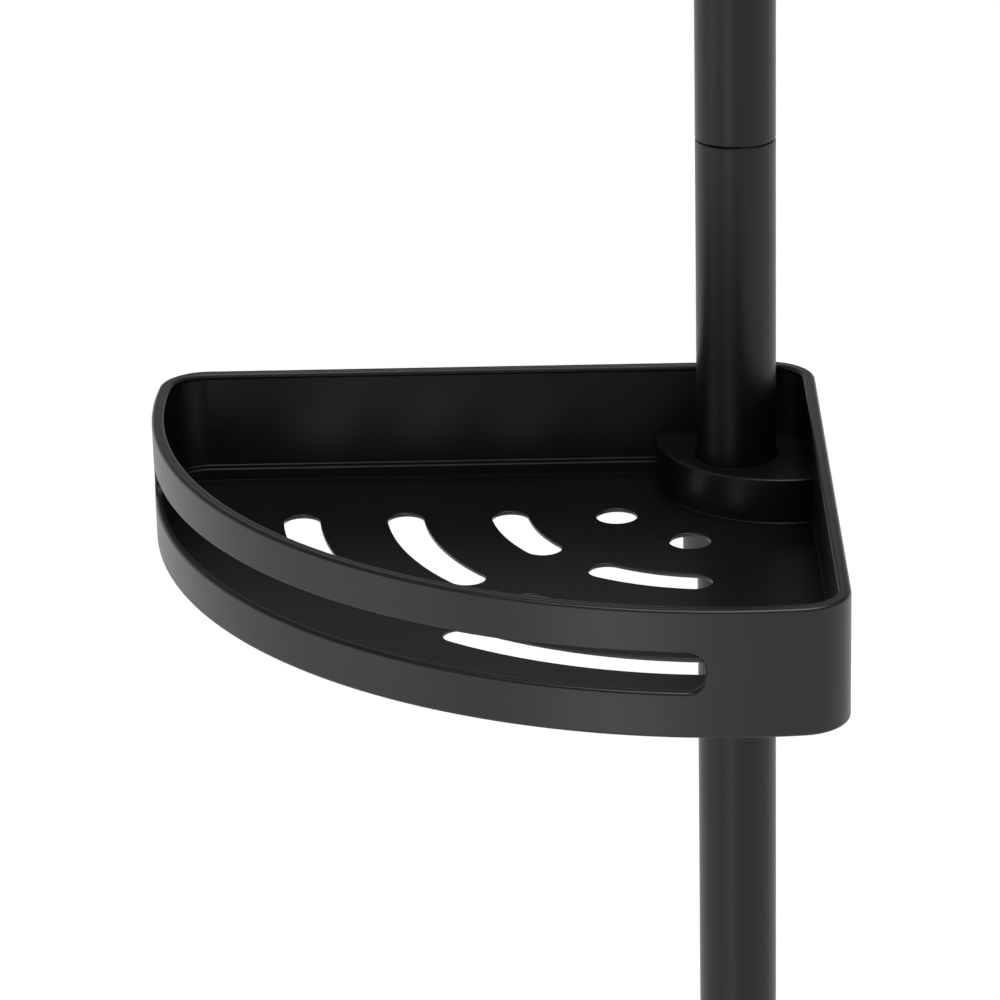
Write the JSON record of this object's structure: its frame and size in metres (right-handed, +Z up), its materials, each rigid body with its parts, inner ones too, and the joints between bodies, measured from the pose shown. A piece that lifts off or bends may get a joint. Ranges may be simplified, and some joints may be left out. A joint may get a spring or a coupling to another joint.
{
  "type": "corner shower caddy",
  "caption": "Floor-to-ceiling sprung pole carrying quarter-round slotted corner trays, each wedged on a split sleeve so that it can slide and swivel.",
  "frame": {"origin": "on the pole's axis at the underside of the floor pad", "axes": "+Z up the pole; each tray's straight walls face +X and +Y at rest, and its round front faces -X -Y"},
  "size_m": [0.216, 0.216, 1.667],
  "materials": {
    "tray_plastic": "satin moulded black ABS",
    "sleeve_plastic": "fine-matt moulded black nylon",
    "cup_plastic": "satin moulded black ABS",
    "insert_plastic": "natural nylon",
    "pole_coating": "satin black powder coating on steel tube",
    "pad_rubber": "matt black rubber",
    "spring_steel": "bright drawn spring wire"
  },
  "bodies": {
    "pole": {"floor_pad": "pad_rubber", "foot_cup": "cup_plastic", "lower_tube": "pole_coating", "middle_tube": "pole_coating", "upper_tube": "pole_coating", "lower_tube_stud": "insert_plastic", "middle_tube_socket": "insert_plastic", "middle_tube_stud": "insert_plastic", "upper_tube_socket": "insert_plastic", "guide_bush": "cup_plastic", "spring_seat": "insert_plastic", "tension_spring": "spring_steel"},
    "top_post": {"spring_follower": "insert_plastic", "top_tube": "pole_coating", "ceiling_cup": "cup_plastic", "ceiling_pad": "pad_rubber"},
    "sleeve_1": {"sleeve_1_left": "sleeve_plastic", "sleeve_1_right": "sleeve_plastic"},
    "tray_1": {"tray_1": "tray_plastic"},
    "sleeve_2": {"sleeve_2_left": "sleeve_plastic", "sleeve_2_right": "sleeve_plastic"},
    "tray_2": {"tray_2": "tray_plastic"},
    "sleeve_3": {"sleeve_3_left": "sleeve_plastic", "sleeve_3_right": "sleeve_plastic"},
    "tray_3": {"tray_3": "tray_plastic"}
  },
  "joints": [
    {"name": "top_tube_press", "type": "slide", "parent": "pole", "child": "top_post", "axis": [0, 0, -1], "range_m": [0, 0.045], "stiffness_N_per_m": 1500, "springref_m": -0.02, "deforming": ["tension_spring"]},
    {"name": "sleeve_1_slide", "type": "slide", "parent": "pole", "child": "sleeve_1", "axis": [0, 0, 1], "range_m": [-0.3, 0.2]},
    {"name": "tray_1_swivel", "type": "hinge", "parent": "sleeve_1", "child": "tray_1", "pos_m": [0, 0, 0.368], "axis": [0, 0, 1], "continuous": true},
    {"name": "sleeve_2_slide", "type": "slide", "parent": "pole", "child": "sleeve_2", "axis": [0, 0, 1], "range_m": [-0.2, 0.2]},
    {"name": "tray_2_swivel", "type": "hinge", "parent": "sleeve_2", "child": "tray_2", "pos_m": [0, 0, 0.848], "axis": [0, 0, 1], "continuous": true},
    {"name": "sleeve_3_slide", "type": "slide", "parent": "pole", "child": "sleeve_3", "axis": [0, 0, 1], "range_m": [-0.2, 0.1]},
    {"name": "tray_3_swivel", "type": "hinge", "parent": "sleeve_3", "child": "tray_3", "pos_m": [0, 0, 1.328], "axis": [0, 0, 1], "continuous": true}
  ]
}
